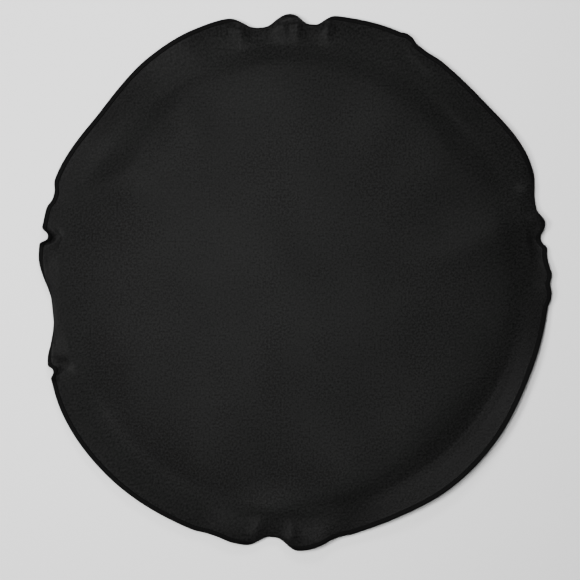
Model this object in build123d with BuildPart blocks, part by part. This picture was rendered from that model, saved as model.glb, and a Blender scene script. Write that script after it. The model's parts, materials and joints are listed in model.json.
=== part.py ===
"""A round collapsible backdrop panel: two cloth faces on a sprung steel hoop, with a slack hemmed rim.

The panel lies flat with its black face up. It bends up about lines that run along Y, so every
piece that crosses a bending line is cut there and each strip is a body of its own.
"""

import math
import os

from build123d import *

os.makedirs("parts", exist_ok=True)

# ---- driving dimensions, in millimetres ----
PANEL_RADIUS = 400.0        # to the outside of the hem
STRIPS_PER_SIDE = 4         # bending strips on each side of the middle one
STRIP_GAP = 0.3             # open cut between two strips

CLOTH = 0.5                 # thickness of either face
CLEARANCE = 0.3             # between layers that only lie on each other
FIELD_RADIUS = 310.0        # the black cloth is flat inside this, and its raised border starts here

HOOP_RADIUS = 356.0         # middle of the steel band
HOOP_BAND = 0.9             # thickness of the band, across the rim
HOOP_HEIGHT = 4.0           # width of the band, which stands on edge
HOOP_END_GAP = 1.0          # between the two ends, inside the ferrule

FERRULE_WALL = 0.5
FERRULE_PLAY = 0.05
FERRULE_LENGTH = 28.0
CRIMP_RADIUS = 1.6          # round nose of the crimping tool
CRIMP_DEPTH = 0.25
CRIMP_SHARES = (-0.7, -0.3, 0.3, 0.7)   # where the crimps are, as shares of half the ferrule

CASING_WALL = 0.5
CASING_CORNER = 1.1
CASING_PLAY = 0.3           # around the ferrule, the widest thing inside
CASING_ALLOWANCE = 12.0     # flat edge of the tape, sewn to the back cloth

HEM_WALL = 0.6
HEM_WIDTH = 6.0
HEM_BITE = 0.3              # how deep the thread under the panel presses into the back cloth

# ---- worked out from them ----
STRIP_WIDTH = 2 * PANEL_RADIUS / (2 * STRIPS_PER_SIDE + 1)
FERRULE_THICK = HOOP_BAND + 2 * (FERRULE_PLAY + FERRULE_WALL)
FERRULE_HEIGHT = HOOP_HEIGHT + 2 * (FERRULE_PLAY + FERRULE_WALL)
CASING_THICK = FERRULE_THICK + 2 * (CASING_PLAY + CASING_WALL)
CASING_HEIGHT = FERRULE_HEIGHT + 2 * (CASING_PLAY + CASING_WALL)
CASING_BOTTOM = CLOTH + CLEARANCE
HOOP_Z = CASING_BOTTOM + CASING_HEIGHT / 2
FRONT_LOW = CLOTH + CLEARANCE
FRONT_CREST = CASING_BOTTOM + CASING_HEIGHT + CLEARANCE
CLOTH_EDGE = PANEL_RADIUS - HEM_WALL - CLEARANCE
HEM_HEIGHT = FRONT_LOW + CLOTH + CLEARANCE + HEM_WALL
HEM_BORDER = PANEL_RADIUS - HEM_WIDTH
PANEL_HEIGHT = FRONT_CREST + CLOTH
PAST = 3.0                  # how many times larger a cutting block is than what it cuts

# ---- the raised border of the black cloth, as radius and height of its underside ----
CREST_SHOULDER = 3.7        # level cloth on each side of the casing
INNER_RAMP = 26.0           # where the cloth climbs onto the hoop
OUTER_RAMP = 17.0           # where it drops to the slack rim
CREST_CURVE = 12.0
FOOT_CURVE = 30.0
CREST_HALF = CASING_THICK / 2 + CREST_SHOULDER

BORDER_LINE = [
    (FIELD_RADIUS, FRONT_LOW),
    (HOOP_RADIUS - CREST_HALF - INNER_RAMP, FRONT_LOW),
    (HOOP_RADIUS - CREST_HALF, FRONT_CREST),
    (HOOP_RADIUS + CREST_HALF, FRONT_CREST),
    (HOOP_RADIUS + CREST_HALF + OUTER_RAMP, FRONT_LOW),
    (CLOTH_EDGE, FRONT_LOW),
]
BORDER_CURVES = [FOOT_CURVE, CREST_CURVE, CREST_CURVE, FOOT_CURVE]


def strip_name(piece, index):
    """The node name of one strip of a piece: index 0 is the middle, positive is to the right."""
    if index == 0:
        return f"{piece}_mid"
    side = "right" if index > 0 else "left"
    return f"{piece}_{side}_{abs(index)}"


def keep_strip(index):
    """Cuts the part being built down to one strip between two bending lines."""
    with Locations((index * STRIP_WIDTH, 0, 0)):
        Box(STRIP_WIDTH - STRIP_GAP, PAST * PANEL_RADIUS, PAST * PANEL_HEIGHT, mode=Mode.INTERSECT)


def save(builder, name):
    """Labels a finished piece and writes it to its own file."""
    builder.part.label = name
    export_step(builder.part, f"parts/{name}.step")


def make_field(index):
    """One strip of the flat part of the black cloth, inside the hoop."""
    with BuildPart() as cloth:
        with Locations((0, 0, FRONT_LOW)):
            Cylinder(FIELD_RADIUS, CLOTH, align=(Align.CENTER, Align.CENTER, Align.MIN))
        keep_strip(index)
    save(cloth, strip_name("front_cloth", index))


def make_border(index):
    """One strip of the same cloth where it climbs over the hoop and lies slack outside it."""
    topside = [(radius, height + CLOTH) for radius, height in BORDER_LINE]
    with BuildPart() as border:
        with BuildSketch(Plane.XZ):
            with BuildLine():
                FilletPolyline(*BORDER_LINE, radius=BORDER_CURVES)
                FilletPolyline(*topside, radius=BORDER_CURVES)
                Line(BORDER_LINE[0], topside[0])
                Line(BORDER_LINE[-1], topside[-1])
            make_face()
        revolve(axis=Axis.Z)
        keep_strip(index)
    save(border, strip_name("front_border", index))


def make_back(index):
    """One strip of the back cloth, pressed thinner where the hem's thread passes under it."""
    with BuildPart() as cloth:
        with BuildSketch(Plane.XZ):
            with Locations((0, 0)):
                Rectangle(CLOTH_EDGE, CLOTH, align=(Align.MIN, Align.MIN))
            with Locations((HEM_BORDER - CLEARANCE, 0)):
                Rectangle(HEM_WIDTH, HEM_BITE, align=(Align.MIN, Align.MIN), mode=Mode.SUBTRACT)
        revolve(axis=Axis.Z)
        keep_strip(index)
    save(cloth, strip_name("back_cloth", index))


def make_hem(index):
    """One strip of the overlocked edge, which wraps both cloths at the rim."""
    with BuildPart() as hem:
        with BuildSketch(Plane.XZ):
            with Locations((HEM_BORDER, 0)):
                Rectangle(HEM_WIDTH, HEM_HEIGHT, align=(Align.MIN, Align.MIN))
            with Locations((HEM_BORDER - HEM_WALL, HEM_BITE)):
                Rectangle(
                    HEM_WIDTH,
                    HEM_HEIGHT - HEM_WALL - HEM_BITE,
                    align=(Align.MIN, Align.MIN),
                    mode=Mode.SUBTRACT,
                )
        revolve(axis=Axis.Z)
        keep_strip(index)
    save(hem, strip_name("hem", index))


def make_casing(index):
    """One strip of the tape that is folded round the hoop and sewn to the back cloth."""
    inner_thick = CASING_THICK - 2 * CASING_WALL
    inner_height = CASING_HEIGHT - 2 * CASING_WALL
    with BuildPart() as casing:
        with BuildSketch(Plane.XZ):
            with Locations((HOOP_RADIUS, HOOP_Z)):
                RectangleRounded(CASING_THICK, CASING_HEIGHT, CASING_CORNER)
            with Locations((HOOP_RADIUS, CASING_BOTTOM)):
                Rectangle(CASING_ALLOWANCE, CASING_WALL, align=(Align.MAX, Align.MIN))
            with Locations((HOOP_RADIUS, HOOP_Z)):
                RectangleRounded(inner_thick, inner_height, CASING_CORNER - CASING_WALL, mode=Mode.SUBTRACT)
        revolve(axis=Axis.Z)
        keep_strip(index)
    save(casing, strip_name("hoop_casing", index))


def make_hoop(index):
    """One strip of the flat spring-steel hoop, whose two ends meet at the foot of the middle strip."""
    with BuildPart() as hoop:
        with BuildSketch(Plane.XZ):
            with Locations((HOOP_RADIUS, HOOP_Z)):
                Rectangle(HOOP_BAND, HOOP_HEIGHT)
        revolve(axis=Axis.Z)
        keep_strip(index)
        if index == 0:
            with Locations((0, -HOOP_RADIUS, HOOP_Z)):
                Box(HOOP_END_GAP, PAST * HOOP_BAND, PAST * HOOP_HEIGHT, mode=Mode.SUBTRACT)
    save(hoop, strip_name("spring_hoop", index))


def make_ferrule():
    """The crimped sleeve that joins the hoop's two ends."""
    half_turn = FERRULE_LENGTH / 2 / HOOP_RADIUS
    first = -math.pi / 2 - half_turn
    outward = (math.cos(first), math.sin(first), 0)
    along = (math.sin(first), -math.cos(first), 0)
    with BuildPart() as ferrule:
        with BuildSketch(Plane(origin=(0, 0, 0), x_dir=outward, z_dir=along)):
            with Locations((HOOP_RADIUS, HOOP_Z)):
                Rectangle(FERRULE_THICK, FERRULE_HEIGHT)
                Rectangle(
                    HOOP_BAND + 2 * FERRULE_PLAY,
                    HOOP_HEIGHT + 2 * FERRULE_PLAY,
                    mode=Mode.SUBTRACT,
                )
        revolve(axis=Axis.Z, revolution_arc=math.degrees(2 * half_turn))
        nose = HOOP_RADIUS + FERRULE_THICK / 2 + CRIMP_RADIUS - CRIMP_DEPTH
        for share in CRIMP_SHARES:
            angle = share * half_turn
            with Locations((nose * math.sin(angle), -nose * math.cos(angle), HOOP_Z)):
                Sphere(CRIMP_RADIUS, mode=Mode.SUBTRACT)
    save(ferrule, "hoop_ferrule")


for strip in range(-STRIPS_PER_SIDE, STRIPS_PER_SIDE + 1):
    if (abs(strip) - 0.5) * STRIP_WIDTH < FIELD_RADIUS:
        make_field(strip)
    make_border(strip)
    make_back(strip)
    make_hem(strip)
    make_casing(strip)
    make_hoop(strip)
make_ferrule()
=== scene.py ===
"""Looks of a round collapsible backdrop panel that lies flat, black face up, with a slack rippled rim.

Every layer is one surface worked out for the whole disc. It is then cut at the middle line of each
bending strip, so that each piece spans one hinge and joins its neighbours.
"""

import json
import math

import bmesh
import bpy
import numpy as np
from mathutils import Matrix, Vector

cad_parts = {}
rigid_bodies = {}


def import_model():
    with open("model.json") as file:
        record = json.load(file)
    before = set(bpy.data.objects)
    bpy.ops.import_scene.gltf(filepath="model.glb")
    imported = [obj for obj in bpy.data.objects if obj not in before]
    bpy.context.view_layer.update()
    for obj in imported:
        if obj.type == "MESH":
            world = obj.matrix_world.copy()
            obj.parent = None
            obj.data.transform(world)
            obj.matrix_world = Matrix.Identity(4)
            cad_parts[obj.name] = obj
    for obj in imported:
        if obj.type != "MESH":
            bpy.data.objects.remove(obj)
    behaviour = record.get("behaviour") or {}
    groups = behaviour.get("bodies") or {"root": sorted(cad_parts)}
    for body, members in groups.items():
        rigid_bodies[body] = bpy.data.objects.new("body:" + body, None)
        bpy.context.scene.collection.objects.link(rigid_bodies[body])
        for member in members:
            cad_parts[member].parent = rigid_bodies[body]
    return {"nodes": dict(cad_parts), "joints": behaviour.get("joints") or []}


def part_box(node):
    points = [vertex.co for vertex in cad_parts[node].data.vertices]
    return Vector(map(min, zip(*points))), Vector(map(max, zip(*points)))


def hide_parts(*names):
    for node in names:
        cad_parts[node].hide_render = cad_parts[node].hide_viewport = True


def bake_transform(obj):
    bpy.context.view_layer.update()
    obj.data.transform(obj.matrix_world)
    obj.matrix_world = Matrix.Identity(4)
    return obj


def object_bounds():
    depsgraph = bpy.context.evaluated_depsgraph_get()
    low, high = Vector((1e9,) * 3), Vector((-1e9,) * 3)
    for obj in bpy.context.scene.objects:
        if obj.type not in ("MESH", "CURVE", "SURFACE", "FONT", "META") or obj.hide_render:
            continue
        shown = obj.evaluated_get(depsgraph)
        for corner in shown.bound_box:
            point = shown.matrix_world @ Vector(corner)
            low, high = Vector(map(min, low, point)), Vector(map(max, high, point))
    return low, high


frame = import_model()
cad_box = [list(corner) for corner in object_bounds()]

# ---- camera ----
VIEW_WIDTH = 0.8905             # what the picture takes in, at the floor
CAMERA_HEIGHT = 2.6
PANEL_OFFSET = (0.0077, 0.0139) # of the panel from the middle of the picture

MM = 0.001

# ---- sizes, from the frame ----
PANEL_RADIUS = cad_box[1][1]
hoop_low, hoop_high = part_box("spring_hoop_mid")
casing_low, casing_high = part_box("hoop_casing_mid")
HOOP_OUTSIDE = hoop_high.y
HOOP_BAND = 0.9 * MM
HOOP_CORNER = 0.2 * MM
CASING_OUTSIDE = casing_high.y
CASING_THICK = 3.6 * MM
CASING_CORNER = 1.1 * MM
CASING_ALLOWANCE = 8.4 * MM     # flat edge of the tape, inside the casing
TAPE = 0.24 * MM                # thickness of the folded tape
CLOTH = 0.5 * MM                # thickness of either face
LAYER_GAP = 0.8 * MM            # between the middles of the two faces at the rim
CLEARANCE = 0.3 * MM            # between layers that only lie on each other
CREST = casing_high.z + CLEARANCE + CLOTH / 2
FACE_REST = CLOTH + CLEARANCE + CLOTH / 2   # the black face where it lies on the back cloth

# ---- the hinges, from the frame ----
hinges = sorted(frame["joints"], key=lambda joint: joint["pos_m"][0])
STRIP_WIDTH = hinges[1]["pos_m"][0] - hinges[0]["pos_m"][0]
MIDDLE_RIGID = 16 * MM          # the middle strip keeps straight this far, for the ferrule
FAR = 1.0                       # past everything


def smoothstep(t):
    t = np.clip(t, 0, 1)
    return t * t * (3 - 2 * t)


def smooth_loop(points, degrees):
    """A smooth closed curve through points of (angle, value), read at the given angles."""
    angle, value = np.array(sorted(points), float).T
    angle = np.concatenate((angle[-2:] - 360, angle, angle[:2] + 360))
    value = np.concatenate((value[-2:], value, value[:2]))
    slope = np.gradient(value, angle)
    degrees = degrees % 360
    i = np.searchsorted(angle, degrees, side="right") - 1
    step = angle[i + 1] - angle[i]
    t = (degrees - angle[i]) / step
    rise = t * t * (3 - 2 * t)
    return (
        value[i] * (1 - rise)
        + value[i + 1] * rise
        + step * slope[i] * t * (1 - t) ** 2
        - step * slope[i + 1] * t * t * (1 - t)
    )


def features(table, degrees, power=3):
    """Adds up local changes, each an angle, an amount and a half width in degrees."""
    total = np.zeros_like(degrees)
    for centre, amount, half_width in table:
        away = (degrees - centre + 180) % 360 - 180
        total += amount * np.exp(-np.abs(away / half_width) ** power)
    return total


# ---- the rim as it lies: angles in degrees from +X towards +Y, sizes in millimetres ----
OUTLINE = [
    (0, 390), (14, 391), (28, 404), (45, 399), (56, 404), (66, 413), (82, 411), (91, 410),
    (108, 416), (125, 407), (140, 395), (155, 399), (168, 396), (187, 397), (199, 400),
    (208, 409), (226, 414), (245, 412), (258, 412), (273, 410), (281, 399), (293, 394),
    (306, 396), (321, 393), (336, 387), (350, 388),
]
# tucks and bulges on top of that outline
BITES = [
    (1.3, 3, 1.3), (5.3, -2, 1.5), (9.7, -8, 1.6), (13.9, 4, 1.6), (18.0, -7, 4),
    (61, -3, 3), (65, 3, 1.6), (86.1, -16, 3.0), (97.9, -20, 4.2),
    (160.5, -6, 2.2), (169.9, -12, 1.3), (187, -22, 8.5), (200.4, -6, 1.0), (197.5, 2, 2),
    (252, -3, 3), (265.0, -18, 3.6), (271.5, 2, 3), (279, -3, 2.5), (356.6, 4, 1.8),
]
# where the skirt rolls over and tucks its hem underneath, from 0 to 1
ROLLS = [(86.1, 1, 3.4), (97.9, 1, 4.9), (187, 1, 9.5), (265, 0.9, 4.2), (18.5, 0.9, 4.0)]
# how far the skirt arches above its chord
ARCHES = [(92, 5.2, 15), (187, 3, 13), (265, 2.6, 12), (18, 3, 8)]
# where the edge itself stands higher or lower than usual
LIFTS = [
    (13.5, 6, 3), (1, 3, 5), (169.9, 6, 2), (200.4, 5, 2), (255.5, 3, 4.5), (273.5, 4, 4.5),
    (62, -1.5, 4), (92, -3, 16),
]
# where the whole border outside the hoop leans up
LEANS = [
    (317, 9.4, 33), (120, 7, 8), (151, 5, 9), (92, 2.5, 14), (32, 3, 7), (277, 2.5, 5), (230, 3, 22),
    (54, 2, 16),
]
# hollows just inside an edge that stands up
POCKETS = [(169.9, 5, 2), (200.4, 4, 2)]
# height of the slack cloth pushed up just inside the hoop
RIDGES = [
    (94, 4.6, 15), (62, 3, 11), (40, 3, 11), (11, 4, 8), (353, 3.6, 10), (330, 3.2, 13), (310, 4.6, 14),
    (286, 3.6, 11), (240, 1, 12), (202, 2.4, 12), (149, 6, 11), (125, 4.6, 9),
]
# how much further out than usual that slack cloth has its top
RIDGE_SHIFTS = [
    (94, 14, 20), (143, -14, 9), (160, 14, 9), (40, -12, 10), (355, 6, 10), (282, 12, 10), (205, 6, 10),
]
# long soft folds: start and end points, height at the end, half width on the left and right of the line
FOLDS = [((170, 24), (366, 108), 7, 46, 30)]
FOLD_GROWTH = 1.6               # how late along its line a fold gains its height
# soft swellings (+) and dents (-): place, height, half length, half width, turn in degrees
SWELLS = [
    (376, 62, -5, 18, 30, 8), (-34, -352, 4.2, 56, 26, 0), (-186, 196, 1.6, 60, 36, 45),
    (-170, 300, 1.4, 44, 18, 28), (250, -215, -0.9, 90, 22, 42), (190, 336, 1.4, 34, 9, -36),
    (240, 246, -0.8, 40, 22, -45), (-292, -212, 1, 30, 12, 110),
]
EDGE_REST = 6.6                 # height of the edge where nothing lifts it
EDGE_TUCKED = 2.2               # height of the edge where it is tucked underneath
DISH_RADIUS = 362.0             # the black face hangs from the hoop like a shallow dish
DISH_POWER = 1.25               # how much of it lies flat in the middle
LEAN_START = 347.0
LEAN_POWER = 1.1
RIDGE_TOP = 316.0
RIDGE_INSIDE = 70.0             # half widths of the slack ring
RIDGE_OUTSIDE = 27.0
HOOP_REACH = 9.0                # dents fade out this near the hoop
BILLOWS = 7                     # slow waves of the slack cloth
BILLOW_HEIGHT = 0.16
BILLOW_BIAS = 0.6               # share of the waves that lifts them above zero
HEM_WIDTH = 6.0
HEM_HALF = 1.05                 # half the thickness of the hem
ROLL_REACH = 8.0                # how far back under the fold the tucked edge lies
ROLL_LEAD = 26.0                # pull of the tuck on the curve of the skirt
ROLL_TURN = -165                # direction of a tucked edge, in degrees above level
LIFT_TURN = 12                  # the same for a lifted edge, where it is lifted by LIFT_FULL
LIFT_FULL = 8.0
ROLL_FLATTENS = 0.45            # share of the arch that a tuck takes away
ARCH_SCALE = 6.75               # makes the arch's highest point its stated height
POCKET_SCALE = 16.0             # the same for a hollow

random = np.random.default_rng(11)
wave_lengths = random.uniform(95, 260, BILLOWS)
wave_turns = random.uniform(0, math.pi, BILLOWS)
wave_starts = random.uniform(0, 2 * math.pi, BILLOWS)

SKIRT_START = 1000 * CASING_OUTSIDE + 2.5       # the skirt leaves the hoop's crest here
NOMINAL_EDGE = 1000 * PANEL_RADIUS


def folds(x, y):
    """Height of the long folds at points in millimetres."""
    total = np.zeros_like(x)
    for (x0, y0), (x1, y1), height, left, right in FOLDS:
        length = math.hypot(x1 - x0, y1 - y0)
        along = ((x - x0) * (x1 - x0) + (y - y0) * (y1 - y0)) / length**2
        across = ((x1 - x0) * (y - y0) - (y1 - y0) * (x - x0)) / length
        width = np.where(across > 0, left, right)
        total += height * np.clip(along, 0, 1) ** FOLD_GROWTH * np.exp(-((across / width) ** 2))
    return total


def swells(x, y):
    """Height of the soft swellings and dents, which fade out at the hoop where they go down."""
    total = np.zeros_like(x)
    for x0, y0, height, half_length, half_width, turn in SWELLS:
        c, s = math.cos(math.radians(turn)), math.sin(math.radians(turn))
        along, across = (x - x0) * c + (y - y0) * s, (y - y0) * c - (x - x0) * s
        total += height * np.exp(-((along / half_length) ** 2) - (across / half_width) ** 2)
    near_hoop = np.exp(-(((np.hypot(x, y) - SKIRT_START + 4) / HOOP_REACH) ** 2))
    return np.where(total < 0, total * (1 - near_hoop), total)


def billow(x, y):
    """Slow waves of the slack cloth, never below zero."""
    total = np.zeros_like(x)
    for length, turn, start in zip(wave_lengths, wave_turns, wave_starts):
        total += np.cos(2 * math.pi * (x * math.cos(turn) + y * math.sin(turn)) / length + start)
    return BILLOW_HEIGHT * (total + BILLOW_BIAS * BILLOWS).clip(0)


def skirt(degrees, u):
    """Radius and height of the slack skirt, from the hoop's crest (u = 0) to its edge (u = 1)."""
    roll = features(ROLLS, degrees).clip(0, 1)
    lift = features(LIFTS, degrees, 4)
    reach = smooth_loop(OUTLINE, degrees) + features(BITES, degrees) - HEM_HALF
    angle = np.radians(degrees)
    fold = folds(SKIRT_START * np.cos(angle), SKIRT_START * np.sin(angle))
    top = 1000 * CREST + fold
    width = reach - SKIRT_START
    end_radius = reach - roll * ROLL_REACH
    end_height = (EDGE_REST + lift) * (1 - roll) + EDGE_TUCKED * roll
    turn = np.radians(ROLL_TURN * roll + LIFT_TURN * smoothstep(lift / LIFT_FULL) * (1 - roll))
    arch = features(ARCHES, degrees, 2)
    pocket = features(POCKETS, degrees)
    lead = width * (1 - roll) + ROLL_LEAD * roll

    def at(u):
        h00 = (1 + 2 * u) * (1 - u) ** 2
        h10 = u * (1 - u) ** 2
        h01 = u * u * (3 - 2 * u)
        h11 = -u * u * (1 - u)
        radius = SKIRT_START * h00 + width * h10 + end_radius * h01 + lead * np.cos(turn) * h11
        height = top * h00 + end_height * h01 + lead * np.sin(turn) * h11
        bulge = ARCH_SCALE * u * u * (1 - u) * arch * (1 - ROLL_FLATTENS * roll)
        hollow = POCKET_SCALE * (u * (1 - u)) ** 2 * pocket
        return radius, height + (bulge - hollow)

    # a rolled skirt reaches out furthest before its end, so its curve is scaled by that furthest point
    farthest = np.max([at(np.full_like(degrees, step))[0] for step in np.linspace(0.4, 1, 31)], axis=0)
    radius, height = at(u)
    return SKIRT_START + (radius - SKIRT_START) * width / (farthest - SKIRT_START), height


def border(degrees, s):
    """Extra height of the cloth round the hoop: the slack ring, and the sides that lean up."""
    from_top = s - RIDGE_TOP - features(RIDGE_SHIFTS, degrees, 2)
    width = np.where(from_top < 0, RIDGE_INSIDE, RIDGE_OUTSIDE)
    ridge = features(RIDGES, degrees, 2) * np.exp(-((from_top / width) ** 2))
    lean = np.clip((s - LEAN_START) / (NOMINAL_EDGE - LEAN_START), 0, 1) ** LEAN_POWER
    roll = features(ROLLS, degrees).clip(0, 1)
    return ridge + features(LEANS, degrees, 4) * lean * (1 - roll)


def black_middle(degrees, s):
    """Points of the middle of the black cloth, s being how far from the centre it is in the flat cut."""
    s = np.minimum(s, NOMINAL_EDGE)
    u = np.clip((s - SKIRT_START) / (NOMINAL_EDGE - SKIRT_START), 0, 1)
    radius, height = skirt(degrees, u)
    angle = np.radians(degrees)
    x, y = s * np.cos(angle), s * np.sin(angle)
    dish = (1 - np.cos(math.pi * np.clip(s / DISH_RADIUS, 0, 1) ** DISH_POWER)) / 2
    low = 1000 * FACE_REST * (1 - dish) + 1000 * CREST * dish
    low = low + billow(x, y) * (1 - dish) + folds(x, y)
    inside = s < SKIRT_START
    radius = np.where(inside, s, radius)
    height = np.where(inside, low, height) + swells(x, y) + border(degrees, s)
    return np.stack((radius * np.cos(angle), radius * np.sin(angle), height), axis=-1) * MM


def facing(surface, degrees, s):
    """Unit normals of a surface, pointing out of the black side."""
    turn, step = 0.08, 0.15     # degrees round and millimetres out, small enough for the tightest tuck
    across = surface(degrees + turn, s) - surface(degrees - turn, s)
    along = surface(degrees, s + step) - surface(degrees, s - step)
    edge = s + step > NOMINAL_EDGE
    along = np.where(edge[..., None], surface(degrees, s) - surface(degrees, s - step), along)
    normal = np.cross(along, across)
    return normal / np.maximum(np.linalg.norm(normal, axis=-1, keepdims=True), 1e-12)


BACK_REST = 1000 * (CLOTH / 2) + 0.25       # the back cloth just clear of the table


def back_middle(degrees, s):
    """Points of the middle of the back cloth, flat inside the hoop and under the black cloth at the rim."""
    angle = np.radians(degrees)
    u = np.clip((s - SKIRT_START) / (NOMINAL_EDGE - SKIRT_START), 0, 1)
    follow = smoothstep(u / 0.55)[..., None]
    black = black_middle(degrees, s)
    under = black - facing(black_middle, degrees, s) * LAYER_GAP
    flat_radius = np.where(s < SKIRT_START, s, np.hypot(black[..., 0], black[..., 1]) / MM)
    flat = np.stack(
        (flat_radius * np.cos(angle), flat_radius * np.sin(angle), np.full_like(s, BACK_REST)), axis=-1
    )
    return flat * MM * (1 - follow) + under * follow


# ---- meshes ----
def ring_plan():
    """Rings from the rim inwards, as (distance in the flat cut, points round), with fewer further in."""
    rings = [(s, 1792) for s in np.linspace(NOMINAL_EDGE, SKIRT_START, 25)]
    rings += [(s, 896) for s in np.linspace(SKIRT_START - 2.5, 250, 26)]
    rings += [(s, 448) for s in np.linspace(240, 130, 12)]
    rings += [(s, 224) for s in np.linspace(118, 70, 5)]
    rings += [(s, 112) for s in np.linspace(58, 34, 3)]
    rings += [(22, 56), (11, 28)]
    return rings


def ring_faces(rings):
    """Faces of a disc of rings, each ring joined to the next, and a fan in the middle."""
    starts = np.cumsum([0] + [n for _, n in rings])
    faces = []
    for (_, n), (_, m), first, second in zip(rings, rings[1:], starts, starts[1:]):
        for i in range(m):
            j = (i + 1) % m
            if n == m:
                faces.append((first + i, first + j, second + j, second + i))
                continue
            a, b, c = first + 2 * i, first + 2 * i + 1, first + (2 * i + 2) % n
            faces += [(a, b, second + i), (b, second + j, second + i), (b, c, second + j)]
    last, n = starts[-2], rings[-1][1]
    hub = starts[-1]
    faces += [(last + i, last + (i + 1) % n, hub) for i in range(n)]
    return faces


def sheet_shell(surface):
    """A cloth with its thickness: points, faces, normals, and each point's place in the flat cut."""
    rings = ring_plan()
    degrees = np.concatenate([np.arange(n) * 360 / n for _, n in rings] + [[0.0]])
    s = np.concatenate([np.full(n, float(at)) for at, n in rings] + [[0.01]])
    middle = surface(degrees, s)
    normal = facing(surface, degrees, s)
    normal[-1] = (0, 0, 1)
    angle = np.radians(degrees)
    cut = np.stack((s * np.cos(angle), s * np.sin(angle), np.zeros_like(s)), axis=-1) * MM
    top = ring_faces(rings)
    count, rim = len(s), rings[0][1]
    faces = top + [tuple(count + v for v in reversed(f)) for f in top]
    faces += [(i, count + i, count + (i + 1) % rim, (i + 1) % rim) for i in range(rim)]
    points = np.concatenate((middle + normal * CLOTH / 2, middle - normal * CLOTH / 2))
    return points, faces, np.concatenate((normal, -normal)), np.concatenate((cut, cut))


def new_object(name, points, faces, material):
    mesh = bpy.data.meshes.new(name)
    mesh.from_pydata(np.asarray(points).tolist(), [], [tuple(int(v) for v in f) for f in faces])
    mesh.materials.append(material)
    mesh.update()
    mesh.shade_smooth()
    piece = bpy.data.objects.new(name, mesh)
    bpy.context.scene.collection.objects.link(piece)
    return piece


def store(mesh, name, values):
    """Keeps a vector for each point, for the weave to follow or for shading."""
    layer = mesh.attributes.new(name, "FLOAT_VECTOR", "POINT")
    layer.data.foreach_set("vector", np.asarray(values, np.float32).ravel())


def cut_between(piece, low, high):
    """Cuts a closed cloth at two planes of constant X, closes the cuts, and keeps its smooth shading."""
    work = bmesh.new()
    work.from_mesh(piece.data)
    caps = []
    for at, side in ((low, -1), (high, 1)):
        if abs(at) >= FAR:
            continue
        geometry = work.verts[:] + work.edges[:] + work.faces[:]
        cut = bmesh.ops.bisect_plane(
            work, geom=geometry, dist=1e-7, plane_co=(at, 0, 0), plane_no=(side, 0, 0), clear_outer=True
        )["geom_cut"]
        open_edges = [e for e in cut if isinstance(e, bmesh.types.BMEdge) and e.is_boundary]
        filled = bmesh.ops.holes_fill(work, edges=open_edges, sides=0)["faces"]
        for face in filled:
            face.material_index = 1
            caps.append(side)
    work.to_mesh(piece.data)
    work.free()
    mesh = piece.data
    normals = np.zeros(len(mesh.vertices) * 3, np.float32)
    mesh.attributes["facing"].data.foreach_get("vector", normals)
    normals = normals.reshape(-1, 3)
    loop_points = np.zeros(len(mesh.loops), np.int32)
    mesh.loops.foreach_get("vertex_index", loop_points)
    corner = normals[loop_points]
    for face in mesh.polygons:
        if face.material_index == 1:
            for loop in face.loop_indices:
                corner[loop] = face.normal
            face.material_index = 0
    mesh.normals_split_custom_set(corner.tolist())
    mesh.attributes.remove(mesh.attributes["facing"])


class Strip:
    """One stretch between the middles of two neighbouring bodies, which bends across their hinge."""

    def __init__(self, hinge):
        self.side = 1 if hinge["pos_m"][0] > 0 else -1
        self.parent, self.child = hinge["parent"], hinge["child"]
        near = hinge["pos_m"][0] - self.side * STRIP_WIDTH / 2
        far = hinge["pos_m"][0] + self.side * STRIP_WIDTH / 2
        self.last = abs(far) + STRIP_WIDTH / 2 > PANEL_RADIUS - MM
        self.near, self.far = near, (self.side * FAR if self.last else far)
        self.bend_from = self.side * MIDDLE_RIGID if abs(near) < MM else near
        self.bend_to = far
        self.low, self.high = min(self.near, self.far), max(self.near, self.far)

    def flat(self):
        """Width, length and area of this stretch of the round cut."""
        inner, outer = abs(self.near), min(abs(self.far), PANEL_RADIUS)

        def area(x):
            return x * math.sqrt(PANEL_RADIUS**2 - x * x) + PANEL_RADIUS**2 * math.asin(x / PANEL_RADIUS)

        return outer - inner, 2 * math.sqrt(PANEL_RADIUS**2 - inner**2), area(outer) - area(inner)


strips = [Strip(hinge) for hinge in hinges]


def settle(piece, strip, nodes):
    """Fixes a piece's transform and lets it stand for the CAD nodes there, which it hides."""
    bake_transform(piece)
    strips_here = [strip.child]
    if strip.parent == "middle" and strip.side > 0:
        strips_here.append("mid")
    replaced = [f"{node}_{where}" for node in nodes for where in strips_here]
    replaced = [name for name in replaced if name in frame["nodes"]]
    if replaced:
        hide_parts(*replaced)
    return piece


def cut_sheet(name, shell, nodes, material):
    """Cuts a whole cloth into its strips."""
    points, faces, normals, cut = shell
    indices = np.full((len(faces), 4), -1)
    for i, face in enumerate(faces):
        indices[i, : len(face)] = face
    x = np.where(indices >= 0, points[indices, 0], points[indices[:, :1], 0])
    pieces = []
    for strip in strips:
        near = (x.max(axis=1) > strip.low) & (x.min(axis=1) < strip.high)
        kept = [faces[i] for i in np.nonzero(near)[0]]
        used = np.unique(np.concatenate([np.asarray(f) for f in kept]))
        place = np.full(len(points), -1)
        place[used] = np.arange(len(used))
        piece = new_object(f"{name}_{strip.child}", points[used], [place[list(f)] for f in kept], material)
        store(piece.data, "facing", normals[used])
        store(piece.data, "cut", cut[used])
        cut_between(piece, strip.low, strip.high)
        pieces.append(settle(piece, strip, nodes))
    return pieces


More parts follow.
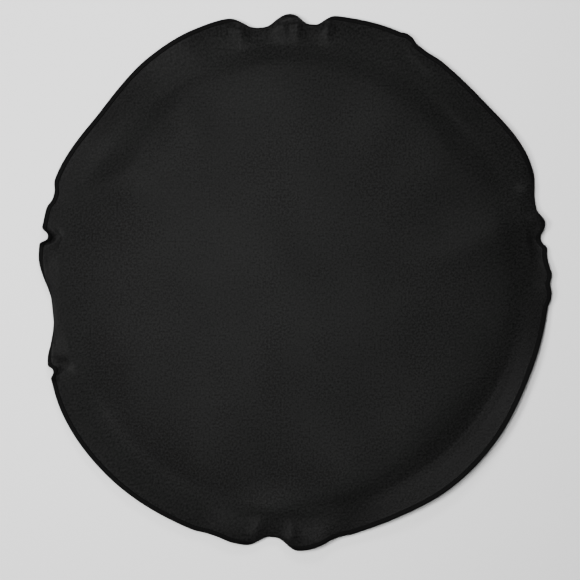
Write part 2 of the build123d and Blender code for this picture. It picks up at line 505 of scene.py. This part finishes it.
def swept_runs(columns):
    """Groups neighbouring columns by strip: (strip, list of columns) for each unbroken run."""
    x = columns[:, 0]
    middles = (x + np.roll(x, -1)) / 2
    owner = np.searchsorted([strip.high for strip in strips[:-1]], middles)
    breaks = np.nonzero(owner != np.roll(owner, 1))[0]
    count = len(x)
    for a, b in zip(breaks, np.roll(breaks, -1)):
        steps = (b - a) % count
        yield strips[owner[a]], [(a + k) % count for k in range(steps + 1)]


def sweep(name, rings, cut, nodes, material):
    """Skins closed profiles, one at each column round the rim, into one piece for each strip.
    rings holds the points as (column, point of the profile, xyz)."""
    size = rings.shape[1]
    parts = {}
    for strip, columns in swept_runs(rings.mean(axis=1)):
        points, faces, places = parts.setdefault(strip.child, ([], [], []))
        first = len(points) * size
        for k, column in enumerate(columns):
            points.append(rings[column])
            places.append(cut[column])
            if k:
                a, b = first + (k - 1) * size, first + k * size
                faces += [(a + i, b + i, b + (i + 1) % size, a + (i + 1) % size) for i in range(size)]
        faces.append(tuple(first + i for i in range(size)))
        faces.append(tuple(first + (len(columns) - 1) * size + i for i in reversed(range(size))))
    pieces = []
    for strip in strips:
        points, faces, places = parts[strip.child]
        piece = new_object(f"{name}_{strip.child}", np.concatenate(points), faces, material)
        store(piece.data, "cut", np.concatenate(places))
        pieces.append(settle(piece, strip, nodes))
    return pieces


def stitch_template(sides=6, rows=5):
    """A short stitch that lies along X, one unit long and one unit in radius, sunk at both ends."""
    points, faces = [], []
    for row in range(rows):
        t = row / (rows - 1)
        swell = 0.35 + 0.65 * math.sin(math.pi * t) ** 0.6
        drop = -0.9 * (1 - math.sin(math.pi * t))
        for side in range(sides):
            turn = 2 * math.pi * side / sides
            points.append((t - 0.5, swell * math.cos(turn), swell * math.sin(turn) + drop))
    for row in range(rows - 1):
        for side in range(sides):
            a, b = row * sides + side, row * sides + (side + 1) % sides
            faces.append((a, b, b + sides, a + sides))
    faces.append(tuple(reversed(range(sides))))
    faces.append(tuple((rows - 1) * sides + side for side in range(sides)))
    return np.array(points), faces


def stitch_row(name, centres, ahead, outward, length, radius, material):
    """Sews a row of stitches: each whole stitch belongs to the strip that its middle is in."""
    template, template_faces = stitch_template()
    sideways = np.cross(outward, ahead)
    axes = np.stack((ahead * length, sideways * radius, outward * radius), axis=1)
    owner = np.searchsorted([strip.high for strip in strips[:-1]], centres[:, 0])
    pieces = []
    for i, strip in enumerate(strips):
        chosen = np.nonzero(owner == i)[0]
        points = np.concatenate([centres[k] + template @ axes[k] for k in chosen])
        faces = [
            tuple(len(template) * n + v for v in face) for n in range(len(chosen)) for face in template_faces
        ]
        piece = new_object(f"{name}_{strip.child}", points, faces, material)
        store(piece.data, "cut", points)
        pieces.append(settle(piece, strip, ()))
    return pieces


# ---- materials ----
def shader(name, roughness, sheen=0.0, sheen_roughness=0.5, metallic=0.0, specular=0.5):
    material = bpy.data.materials.new(name)
    material.use_nodes = True
    nodes, links = material.node_tree.nodes, material.node_tree.links
    surface = nodes["Principled BSDF"]
    surface.inputs["Roughness"].default_value = roughness
    surface.inputs["Metallic"].default_value = metallic
    surface.inputs["Specular IOR Level"].default_value = specular
    surface.inputs["Sheen Weight"].default_value = sheen
    surface.inputs["Sheen Roughness"].default_value = sheen_roughness
    return material, nodes, links, surface


def math_node(nodes, links, operation, first, second=None):
    node = nodes.new("ShaderNodeMath")
    node.operation = operation
    for socket, value in zip(node.inputs, (first, second)):
        if isinstance(value, (int, float)):
            socket.default_value = value
        elif value is not None:
            links.new(value, socket)
    return node.outputs[0]


def noise_node(nodes, links, vector, scale, detail=3.0):
    node = nodes.new("ShaderNodeTexNoise")
    node.inputs["Scale"].default_value = scale
    node.inputs["Detail"].default_value = detail
    links.new(vector, node.inputs["Vector"])
    return node.outputs["Fac"]


def colour_ramp(nodes, links, value, low, high, start=0.3, end=0.7):
    node = nodes.new("ShaderNodeMapRange")
    node.inputs["From Min"].default_value = start
    node.inputs["From Max"].default_value = end
    links.new(value, node.inputs["Value"])
    mix = nodes.new("ShaderNodeMix")
    mix.data_type = "RGBA"
    mix.inputs["A"].default_value = (*low, 1)
    mix.inputs["B"].default_value = (*high, 1)
    links.new(node.outputs["Result"], mix.inputs["Factor"])
    return mix.outputs["Result"]


def bump(nodes, links, surface, height, distance, strength=1.0):
    node = nodes.new("ShaderNodeBump")
    node.inputs["Distance"].default_value = distance
    node.inputs["Strength"].default_value = strength
    links.new(height, node.inputs["Height"])
    links.new(node.outputs["Normal"], surface.inputs["Normal"])


def flat_place(nodes):
    """Each point's place in the flat cut, so that the weave bends with the cloth."""
    node = nodes.new("ShaderNodeAttribute")
    node.attribute_name = "cut"
    return node.outputs["Vector"]


WEAVE_SHEEN_ROUGHNESS = 0.45
YARN_SCALE, YARN_DETAIL, YARN_SHARE = 1100, 3, 0.3      # unevenness of the yarn; in the colour it also darkens the low parts of the bump, which is painted shade
SLUB_SCALE, SLUB_DETAIL, SLUB_SHARE = 340, 4, 0.62      # thicker stretches of it
SLOW_SCALE, SLOW_DETAIL, SLOW_SHARE = 9, 2, 0.1         # slow change across the cloth
WEAVE_RAMP = (0.38, 0.64)       # sums of the shares that give the dark and the light colour


def woven(name, dark, light, pitch, depth, roughness, sheen, specular, painted_weave_shade=0.12):
    """Cloth of plain weave, with crossing threads, uneven yarn and a slow change of tone. The colour is
    darker where the weave's bump is low: painted shade in its hollows.
    """
    material, nodes, links, surface = shader(
        name, roughness, sheen, WEAVE_SHEEN_ROUGHNESS, specular=specular
    )
    place = flat_place(nodes)
    split = nodes.new("ShaderNodeSeparateXYZ")
    links.new(place, split.inputs[0])
    turn = math.pi / pitch
    warp = math_node(nodes, links, "SINE", math_node(nodes, links, "MULTIPLY", split.outputs["X"], turn))
    weft = math_node(nodes, links, "SINE", math_node(nodes, links, "MULTIPLY", split.outputs["Y"], turn))
    over = math_node(nodes, links, "MULTIPLY", warp, weft)
    yarn = noise_node(nodes, links, place, YARN_SCALE, YARN_DETAIL)
    slub = noise_node(nodes, links, place, SLUB_SCALE, SLUB_DETAIL)
    slow = noise_node(nodes, links, place, SLOW_SCALE, SLOW_DETAIL)
    height = math_node(nodes, links, "ADD", math_node(nodes, links, "MULTIPLY", over, 0.5), yarn)
    bump(nodes, links, surface, height, depth)
    # the crossing threads and the yarn make the colour darker where the bump is low, which is painted shade
    # in the weave's hollows; the yarn, the slubs and the slow change also vary the tone at random
    shades = [(over, painted_weave_shade), (yarn, YARN_SHARE), (slub, SLUB_SHARE), (slow, SLOW_SHARE)]
    value = 0.0
    for part, share in shades:
        value = math_node(nodes, links, "ADD", math_node(nodes, links, "MULTIPLY", part, share), value)
    links.new(colour_ramp(nodes, links, value, dark, light, *WEAVE_RAMP), surface.inputs["Base Color"])
    return material


FIBRE_DEPTH = 0.08 * MM
STEEL_MARK_DEPTH = 0.02 * MM


def threads(name, dark, light, scale, roughness, sheen, specular):
    """Spun thread: fine fibres, with painted shade in the hollows between them."""
    material, nodes, links, surface = shader(name, roughness, sheen, 0.5, specular=specular)
    fibre = noise_node(nodes, links, flat_place(nodes), scale, 4)
    bump(nodes, links, surface, fibre, FIBRE_DEPTH)
    # the colour follows the fibre bump, darker where it is low: painted shade in the hollows
    links.new(colour_ramp(nodes, links, fibre, dark, light), surface.inputs["Base Color"])
    return material


def steel(name, dark, light, roughness, stretch):
    """Drawn or plated steel, with fine marks along the band."""
    material, nodes, links, surface = shader(name, roughness, metallic=1.0)
    place = nodes.new("ShaderNodeTexCoord").outputs["Object"]
    mapping = nodes.new("ShaderNodeMapping")
    mapping.inputs["Scale"].default_value = stretch
    links.new(place, mapping.inputs["Vector"])
    marks = noise_node(nodes, links, mapping.outputs["Vector"], 1.0, 5)
    bump(nodes, links, surface, marks, STEEL_MARK_DEPTH)
    links.new(colour_ramp(nodes, links, marks, dark, light), surface.inputs["Base Color"])
    return material


black_cloth = woven("black_cloth", (0.0012,) * 3, (0.0082,) * 3, 0.42 * MM, 0.03 * MM, 0.34, 0.01, 0.0175)
reverse_cloth = woven(
    "reverse_cloth", (0.70, 0.70, 0.685), (0.80, 0.80, 0.785), 0.42 * MM, 0.06 * MM, 0.75, 0.15, 0.3, 0.2
)
casing_tape = woven("casing_tape", (0.60,) * 3, (0.74,) * 3, 0.7 * MM, 0.1 * MM, 0.8, 0.1, 0.3, 0.3)
hem_thread = threads("hem_thread", (0.0010,) * 3, (0.0034,) * 3, 2600, 0.6, 0.0, 0.02)
row_thread = threads("row_thread", (0.62,) * 3, (0.78,) * 3, 2600, 0.7, 0.1, 0.3)
spring_steel = steel("spring_steel", (0.30, 0.32, 0.36), (0.44, 0.46, 0.50), 0.28, (40, 40, 2500))
ferrule_steel = steel("ferrule_steel", (0.52, 0.53, 0.54), (0.68, 0.68, 0.67), 0.33, (60, 1800, 1800))

# ---- the two faces ----
black_pieces = cut_sheet(
    "black_face", sheet_shell(black_middle), ("front_cloth", "front_border"), black_cloth
)
back_pieces = cut_sheet(
    "back_face", sheet_shell(back_middle), ("back_cloth",), reverse_cloth
)


# ---- the hem: overlocked thread wrapped round both edges ----
STITCH_PITCH = 2.8
STITCHES = int(2 * math.pi * NOMINAL_EDGE / STITCH_PITCH)
COLUMNS_PER_STITCH = 6
THREAD_RISE = 0.28
HEM_HOLLOW = 0.70               # from the middle of the hem to its inside
HEM_INSET = 0.1                 # how far the hollow keeps from the hem's border and from the edge
BORDER_TAPER = 0.72             # share of the hem's thickness at its border
EDGE_GUARD = 0.35               # the flat part of the hem stops this far from the edge
SLANT = 0.45                    # how far a thread leans between its needle hole and the edge, in stitches


def rim_frames(degrees):
    """The last stretch of the skirt at each angle: points half way between the two cloths, their normals,
    and how far each is from the edge."""
    steps = np.linspace(0.55, 1, 46)
    s = SKIRT_START + steps * (NOMINAL_EDGE - SKIRT_START)
    grid_degrees, grid_s = np.meshgrid(degrees, s, indexing="ij")
    middle = black_middle(grid_degrees, grid_s)
    normal = facing(black_middle, grid_degrees, grid_s)
    middle = middle - normal * LAYER_GAP / 2
    hops = np.linalg.norm(np.diff(middle, axis=1), axis=2)
    inward = np.cumsum(hops[:, ::-1], axis=1)[:, ::-1]
    from_edge = np.concatenate((inward, np.zeros((len(degrees), 1))), axis=1)
    return middle, normal, from_edge


def along_rim(frames, distance):
    """Points and normals of the skirt at one distance from its edge, in metres."""
    middle, normal, from_edge = frames
    index = (from_edge > distance).sum(axis=1).clip(1, middle.shape[1] - 1)
    rows = np.arange(len(middle))
    a, b = from_edge[rows, index - 1], from_edge[rows, index]
    t = ((a - distance) / np.maximum(a - b, 1e-9))[:, None]
    point = middle[rows, index - 1] * (1 - t) + middle[rows, index] * t
    turned = normal[rows, index - 1] * (1 - t) + normal[rows, index] * t
    return point, turned / np.linalg.norm(turned, axis=1, keepdims=True)


def hem_rings(degrees, frames):
    """The hem's closed section at each column: top, round the edge, back underneath, then the inside."""
    phase = np.arange(len(degrees)) / COLUMNS_PER_STITCH
    inward = np.linspace(HEM_WIDTH, EDGE_GUARD, 7)
    rings = []

    def thread(distance):
        wave = 0.5 + 0.5 * np.cos(2 * math.pi * (phase + SLANT * distance / HEM_WIDTH))
        return THREAD_RISE * wave**1.5

    def offset(distance, height):
        point, normal = along_rim(frames, distance * MM)
        return point + normal * (height * MM)[:, None]

    for k, distance in enumerate(inward):
        taper = BORDER_TAPER if k == 0 else 1.0
        rings.append(offset(distance, HEM_HALF * taper + thread(distance) * min(1.0, 0.4 + k)))
    edge, edge_normal = along_rim(frames, 0.0)
    inner, _ = along_rim(frames, 0.6 * MM)
    outward = edge - inner
    outward /= np.linalg.norm(outward, axis=1, keepdims=True)
    for turn in (45, 0, -45):
        reach = (HEM_HALF + thread(0.0))[:, None] * MM
        turned = math.radians(turn)
        rings.append(edge + (outward * math.cos(turned) + edge_normal * math.sin(turned)) * reach)
    for k, distance in enumerate(inward[::-1]):
        last = k == len(inward) - 1
        taper = BORDER_TAPER if last else 1.0
        rings.append(offset(distance, -HEM_HALF * taper - thread(-distance) * (0.4 if last else 1.0)))
    wide = np.full(len(degrees), HEM_HOLLOW)
    across = (HEM_WIDTH - HEM_INSET, HEM_WIDTH / 2, HEM_INSET)
    for distance in across:
        rings.append(offset(distance, -wide))
    for distance in reversed(across):
        rings.append(offset(distance, wide))
    return np.stack(rings, axis=1)


rim_degrees = np.arange(STITCHES * COLUMNS_PER_STITCH) * 360 / (STITCHES * COLUMNS_PER_STITCH)
rim = rim_frames(rim_degrees)
hem_sections = hem_rings(rim_degrees, rim)
hem_pieces = sweep("hem", hem_sections, hem_sections, ("hem",), hem_thread)


NEEDLE_SHARE = 0.82             # length of a visible stitch, as a share of the pitch
NEEDLE_RADIUS = 0.24 * MM
NEEDLE_INSIDE = 0.25            # the row runs this far inside the hem's border
NEEDLE_PROUD = 0.1 * MM         # middle of the thread above the cloth


def needle_row(name, side):
    """The needle thread along the inner border of the hem, on the black or the back side."""
    middles = slice(COLUMNS_PER_STITCH // 2, None, COLUMNS_PER_STITCH)
    centre, normal = along_rim(rim, (HEM_WIDTH + NEEDLE_INSIDE) * MM)
    tangent = np.roll(centre, -1, axis=0) - np.roll(centre, 1, axis=0)
    tangent /= np.linalg.norm(tangent, axis=1, keepdims=True)
    place = centre + side * normal * (LAYER_GAP / 2 + CLOTH / 2 + NEEDLE_PROUD)
    return stitch_row(
        name,
        place[middles],
        tangent[middles],
        side * normal[middles],
        NEEDLE_SHARE * STITCH_PITCH * MM,
        NEEDLE_RADIUS,
        hem_thread,
    )


needle_pieces = needle_row("needle_thread", 1)
looper_pieces = needle_row("looper_thread", -1)


# ---- the hoop, its casing and the row that sews the casing down ----
ARC_COLUMNS = 720
arc_degrees = np.arange(ARC_COLUMNS) * 360 / ARC_COLUMNS


def round_sweep(section):
    """A closed section of (radius, height) points, carried round the middle of the panel."""
    angle = np.radians(arc_degrees)[:, None]
    radius, height = np.array(section).T
    return np.stack(
        (radius * np.cos(angle), radius * np.sin(angle), np.broadcast_to(height, (ARC_COLUMNS, len(height)))),
        axis=-1,
    )


def rounded_section(low, high, corner, points=4):
    """A rectangle with round corners, between two corners given as (radius, height)."""
    section = []
    centres = ((high[0], high[1], 0), (low[0], high[1], 90), (low[0], low[1], 180), (high[0], low[1], 270))
    for x, y, start in centres:
        cx = x - corner if x == high[0] else x + corner
        cy = y - corner if y == high[1] else y + corner
        for k in range(points):
            turn = math.radians(start + 90 * k / (points - 1))
            section.append((cx + corner * math.cos(turn), cy + corner * math.sin(turn)))
    return section


def tape_section():
    """The folded tape as one closed ribbon section."""
    left, right = CASING_OUTSIDE - CASING_THICK, CASING_OUTSIDE
    low, high = casing_low.z, casing_high.z
    corner = CASING_CORNER
    allowance = left - CASING_ALLOWANCE
    bends = (
        (right - corner, low + corner, 270),
        (right - corner, high - corner, 0),
        (left + corner, high - corner, 90),
    )

    def path(inset):
        points = [(allowance, low + inset), (left + corner, low + inset)]
        for x, y, start in bends:
            for k in range(5):
                turn = math.radians(start + 90 * k / 4)
                points.append((x + (corner - inset) * math.cos(turn), y + (corner - inset) * math.sin(turn)))
        points.append((left + inset, low + 0.9 * MM))
        points.append((left - 0.5 * MM + inset * 0.5, low + 2.2 * TAPE - inset))
        points.append((allowance, low + 2.2 * TAPE - inset))
        return points

    return path(0.0) + list(reversed(path(TAPE)))


hoop_section = rounded_section(
    (HOOP_OUTSIDE - HOOP_BAND, hoop_low.z), (HOOP_OUTSIDE, hoop_high.z), HOOP_CORNER
)
hoop_rings = round_sweep(hoop_section)
sweep("spring_hoop", hoop_rings, hoop_rings, ("spring_hoop",), spring_steel)
casing_rings = round_sweep(tape_section())
casing_pieces = sweep("hoop_casing", casing_rings, casing_rings, ("hoop_casing",), casing_tape)

CASING_ROW_PITCH = 3.6 * MM
CASING_ROW_SHARE = 0.8          # length of a visible stitch, as a share of the pitch
CASING_ROW_INSIDE = 5 * MM      # from the casing to the row, across the tape's flat edge
CASING_ROW_RADIUS = 0.2 * MM    # of the thread
CASING_ROW_SUNK = 0.05 * MM     # middle of the thread under the back cloth
casing_row_radius = CASING_OUTSIDE - CASING_THICK - CASING_ROW_INSIDE
casing_row_count = int(2 * math.pi * casing_row_radius / CASING_ROW_PITCH)
row_angle = (np.arange(casing_row_count) + 0.5) * 2 * math.pi / casing_row_count
row_centre = np.stack(
    (
        casing_row_radius * np.cos(row_angle),
        casing_row_radius * np.sin(row_angle),
        np.full(casing_row_count, BACK_REST * MM - CLOTH / 2 - CASING_ROW_SUNK),
    ),
    axis=1,
)
row_ahead = np.stack((-np.sin(row_angle), np.cos(row_angle), np.zeros(casing_row_count)), axis=1)
row_down = np.tile((0.0, 0.0, -1.0), (casing_row_count, 1))
row_pieces = stitch_row(
    "casing_row",
    row_centre,
    row_ahead,
    row_down,
    CASING_ROW_SHARE * CASING_ROW_PITCH,
    CASING_ROW_RADIUS,
    row_thread,
)

ferrule = frame["nodes"]["hoop_ferrule"]
ferrule.data.materials.clear()
ferrule.data.materials.append(ferrule_steel)

# ---- what each cloth was cut to ----
for i, strip in enumerate(strips):
    width, length, area = strip.flat()


# ---- floor, light and camera ----
FLOOR_HALF = 6.0
FLOOR_DROP = 0.1 * MM           # of the floor below the panel
FLOOR_SHADE = 0.680


def floor():
    across, low = FLOOR_HALF, -FLOOR_DROP
    corners = [(-across, -across, low), (across, -across, low), (across, across, low), (-across, across, low)]
    material, nodes, links, surface = shader("pale_floor", 0.9, specular=0.0)
    surface.inputs["Base Color"].default_value = (FLOOR_SHADE, FLOOR_SHADE, FLOOR_SHADE, 1)
    piece = new_object("floor", corners, [(0, 1, 2, 3)], material)


def area_light(name, place, size, power, length=None):
    """A soft square light aimed at the panel, or a long one along Y that points straight down."""
    light = bpy.data.lights.new(name, "AREA")
    light.size = size
    light.energy = power
    lamp = bpy.data.objects.new(name, light)
    lamp.location = place
    if length is None:
        lamp.rotation_euler = (-Vector(place)).to_track_quat("-Z", "Y").to_euler()
    else:
        light.shape = "RECTANGLE"
        light.size_y = length
    bpy.context.scene.collection.objects.link(lamp)


def camera():
    lens = bpy.data.cameras.new("camera")
    lens.angle = 2 * math.atan(VIEW_WIDTH / 2 / CAMERA_HEIGHT)
    view = bpy.data.objects.new("camera", lens)
    view.location = (-PANEL_OFFSET[0], -PANEL_OFFSET[1], CAMERA_HEIGHT)
    bpy.context.scene.collection.objects.link(view)
    bpy.context.scene.camera = view


ROOM_LIGHT = 0.32

floor()
area_light("overhead", (-0.13, 0.09, 1.4), size=0.3, power=25, length=0.85)
area_light("key", (-1.80, -0.10, 2.2), size=0.8, power=100)
area_light("top", (0.10, 2.00, 1.3), size=0.5, power=38)
world = bpy.data.worlds.new("room")
world.use_nodes = True
world.node_tree.nodes["Background"].inputs["Color"].default_value = (1, 1, 1, 1)
world.node_tree.nodes["Background"].inputs["Strength"].default_value = ROOM_LIGHT
bpy.context.scene.world = world
camera()
